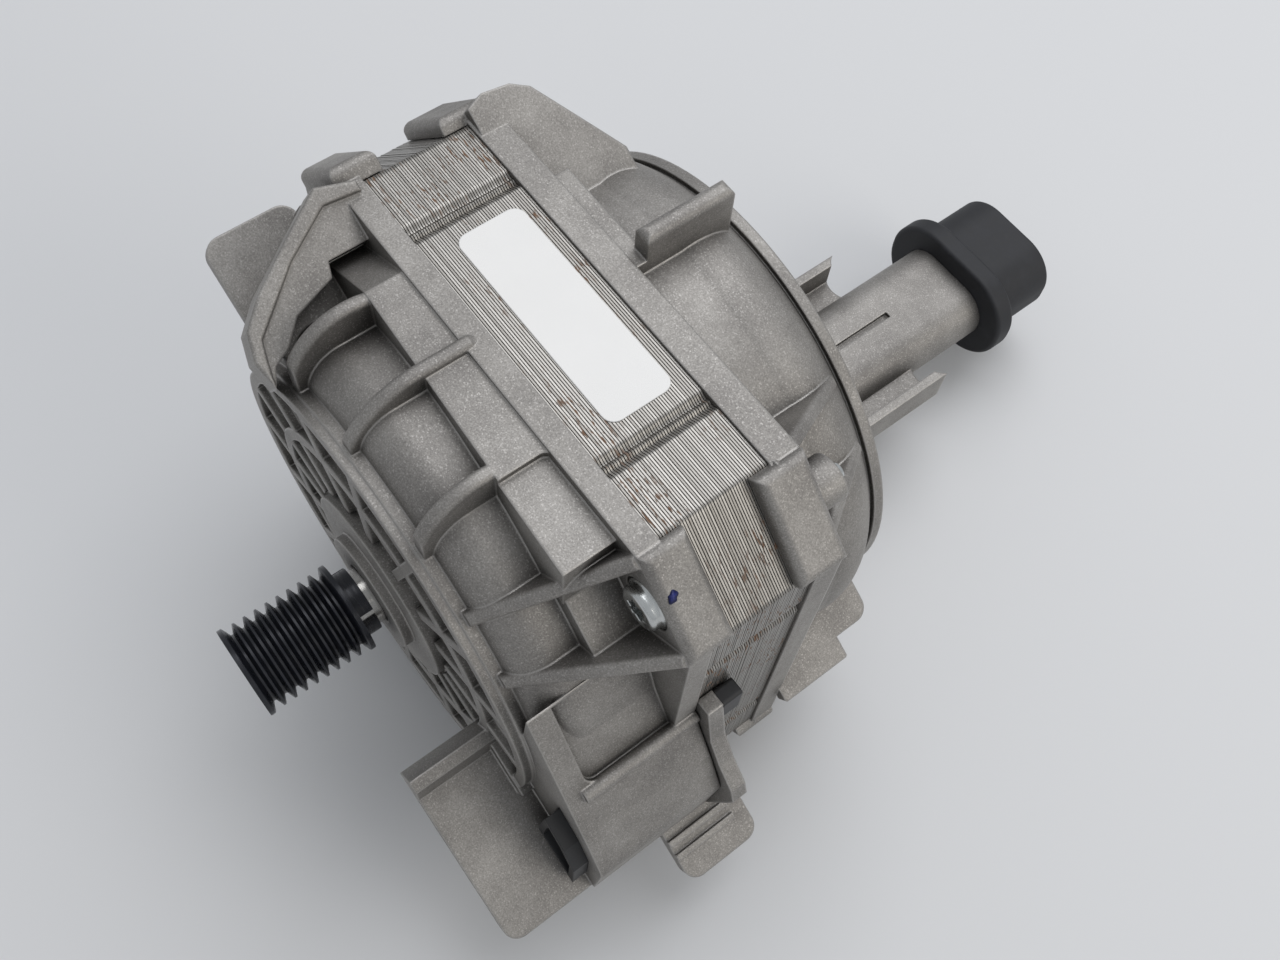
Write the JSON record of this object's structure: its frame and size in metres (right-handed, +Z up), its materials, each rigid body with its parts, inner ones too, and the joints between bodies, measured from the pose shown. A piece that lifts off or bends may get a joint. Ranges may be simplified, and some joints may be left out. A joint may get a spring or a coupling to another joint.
{
  "type": "washing machine motor",
  "caption": "Belt-drive washing machine motor: square laminated stator between die-cast shields, grooved pulley in front, rubber-sleeved support arm behind.",
  "frame": {"origin": "on the shaft axis, at the middle of the pulley's belt track", "axes": "+Y along the shaft from the pulley to the support arm, +Z up through the label, +X to the connector's side"},
  "size_m": [0.1369, 0.2172, 0.1217],
  "materials": {
    "cast_aluminium": "die-cast, bare, fine sparkling grain",
    "lamination_steel": "punched edges in fine lines, slightly rusted",
    "screw_steel": "bright zinc plated",
    "shaft_steel": "ground",
    "bearing_steel": "ground and polished",
    "pulley_black": "black, satin",
    "label_film": "white film, bare",
    "black_plastic": "moulded",
    "black_rubber": "moulded, matt",
    "white_plastic": "moulded slot insulation",
    "copper_wire": "enamelled copper windings",
    "tinned_brass": "tinned",
    "rotor_iron": "stacked laminations",
    "magnet_ferrite": "sintered, matt",
    "seal_rubber": "moulded"
  },
  "bodies": {
    "stator": {"front_shield": "cast_aluminium", "rear_shield": "cast_aluminium", "stator_stack": "lamination_steel", "front_end_frame": "white_plastic", "rear_end_frame": "white_plastic", "stator_coils": "copper_wire", "front_bearing_outer_race": "bearing_steel", "front_bearing_seals": "seal_rubber", "rear_bearing_outer_race": "bearing_steel", "rear_bearing_seals": "seal_rubber", "preload_washer": "bearing_steel", "through_screws": "screw_steel", "label": "label_film", "connector_insert": "black_plastic", "connector_terminals": "tinned_brass", "connector_cover": "cast_aluminium", "lead_block": "black_plastic", "arm_sleeve": "black_rubber"},
    "rotor": {"shaft": "shaft_steel", "pulley": "pulley_black", "rotor_core": "rotor_iron", "rotor_magnets": "magnet_ferrite", "front_rotor_plate": "screw_steel", "rear_rotor_plate": "screw_steel", "front_bearing_inner_race": "bearing_steel", "rear_bearing_inner_race": "bearing_steel"},
    "front_ball_set": {"front_bearing_balls": "bearing_steel", "front_bearing_cage": "white_plastic"},
    "rear_ball_set": {"rear_bearing_balls": "bearing_steel", "rear_bearing_cage": "white_plastic"}
  },
  "joints": [
    {"name": "rotor_spin", "type": "hinge", "parent": "stator", "child": "rotor", "pos_m": [0, 0, 0], "axis": [0, 1, 0], "continuous": true},
    {"name": "front_ball_roll", "type": "hinge", "parent": "stator", "child": "front_ball_set", "pos_m": [0, 0.02455, 0], "axis": [0, 1, 0], "continuous": true},
    {"name": "rear_ball_roll", "type": "hinge", "parent": "stator", "child": "rear_ball_set", "pos_m": [0, 0.09495, 0], "axis": [0, 1, 0], "continuous": true}
  ],
  "couplings": [
    {"joint": "front_ball_roll", "follows": "rotor_spin", "ratio": 0.384},
    {"joint": "rear_ball_roll", "follows": "rotor_spin", "ratio": 0.3682}
  ]
}
